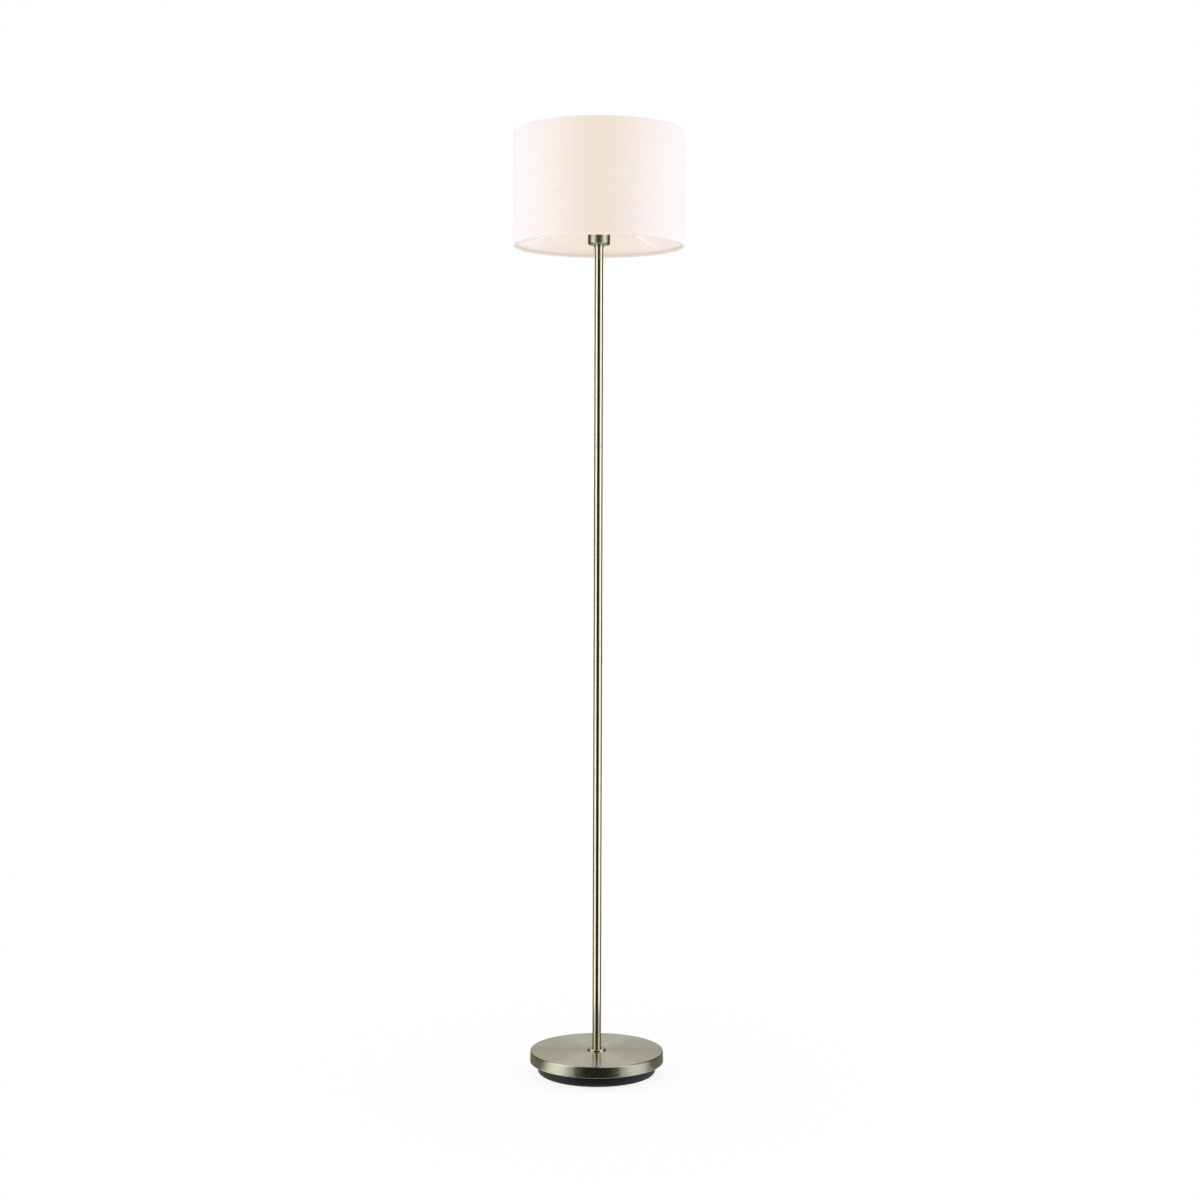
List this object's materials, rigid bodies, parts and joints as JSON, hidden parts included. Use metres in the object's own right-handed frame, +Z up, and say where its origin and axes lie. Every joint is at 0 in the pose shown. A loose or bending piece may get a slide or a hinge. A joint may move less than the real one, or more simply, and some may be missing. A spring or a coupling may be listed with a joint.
{
  "type": "column floor lamp",
  "caption": "Floor lamp with a heavy round base, a slim screwed metal column and a white fabric drum shade that turns on its lampholder.",
  "frame": {"origin": "centre of the underside, on the floor", "axes": "+Z up along the column, -Y towards the front; the cord inlet is at the rear, +Y"},
  "size_m": [0.28, 0.28, 1.5294],
  "materials": {
    "foam_pad": "soft closed-cell foam",
    "black_tray": "fine matt moulded",
    "cast_weight": "rough cast, dipped",
    "zinc_steel": "zinc plated",
    "brushed_bronze": "circular brushed, antique bronze plated",
    "column_bronze": "satin, antique bronze plated",
    "polished_bronze": "polished, antique bronze plated",
    "black_rubber": "moulded",
    "white_nylon": "moulded",
    "brass_contacts": "stamped",
    "white_holder": "moulded thermoplastic",
    "white_ceramic": "pressed, unglazed",
    "blue_insulation": "extruded",
    "brown_insulation": "extruded",
    "shade_cloth": "satin woven, laminated",
    "shade_backing": "translucent sheet",
    "white_enamel": "white enamel on wire",
    "black_glass": "pressed",
    "bulb_nickel": "rolled thread, nickel",
    "bulb_white": "moulded",
    "board_white": "coated board",
    "bulb_opal": "opal"
  },
  "bodies": {
    "stand": {"foot_pad": "foam_pad", "base_tray": "black_tray", "base_weight": "cast_weight", "tray_screws": "zinc_steel", "base_cover": "brushed_bronze", "cord_grommet": "black_rubber", "base_stud": "zinc_steel", "base_washer": "zinc_steel", "base_spring_washer": "zinc_steel", "base_nut": "zinc_steel", "terminal_block": "white_nylon", "terminal_clamps": "brass_contacts", "terminal_screws": "zinc_steel", "column_collar": "polished_bronze", "neck_ring": "polished_bronze", "top_stud": "zinc_steel", "socket_cup": "brushed_bronze", "holder_cap": "white_holder", "holder_skirt": "white_holder", "holder_insert": "white_ceramic", "screw_shell": "brass_contacts", "centre_contact": "brass_contacts", "holder_terminals": "brass_contacts", "neutral_wire": "blue_insulation", "live_wire": "brown_insulation", "lower_tube": "column_bronze", "lower_tube_foot_bush": "zinc_steel", "lower_tube_head_bush": "zinc_steel", "lower_middle_tube": "column_bronze", "lower_middle_tube_foot_bush": "zinc_steel", "lower_middle_tube_head_bush": "zinc_steel", "lower_middle_tube_stud": "zinc_steel", "upper_middle_tube": "column_bronze", "upper_middle_tube_foot_bush": "zinc_steel", "upper_middle_tube_head_bush": "zinc_steel", "upper_middle_tube_stud": "zinc_steel", "top_tube": "column_bronze", "top_tube_foot_bush": "zinc_steel", "top_tube_head_bush": "zinc_steel", "top_tube_stud": "zinc_steel"},
    "ring_nut": {"shade_ring_nut": "white_holder"},
    "shade": {"shade_fabric": "shade_cloth", "shade_liner": "shade_backing", "shade_top_wire": "white_enamel", "shade_bottom_wire": "white_enamel", "shade_spider": "white_enamel"},
    "bulb": {"bulb_contact": "zinc_steel", "bulb_insulator": "black_glass", "bulb_screw_cap": "bulb_nickel", "bulb_housing": "bulb_white", "light_board": "board_white", "bulb_globe": "bulb_opal"}
  },
  "joints": [
    {"name": "shade_turn", "type": "hinge", "parent": "stand", "child": "shade", "pos_m": [0, 0, 1.3884], "axis": [0, 0, 1], "continuous": true},
    {"name": "ring_nut_turn", "type": "hinge", "parent": "stand", "child": "ring_nut", "pos_m": [0, 0, 1.3902], "axis": [0, 0, 1], "range_deg": [0, 900]},
    {"name": "bulb_out", "type": "slide", "parent": "stand", "child": "bulb", "axis": [0, 0, 1], "range_m": [0, 0.16]}
  ]
}
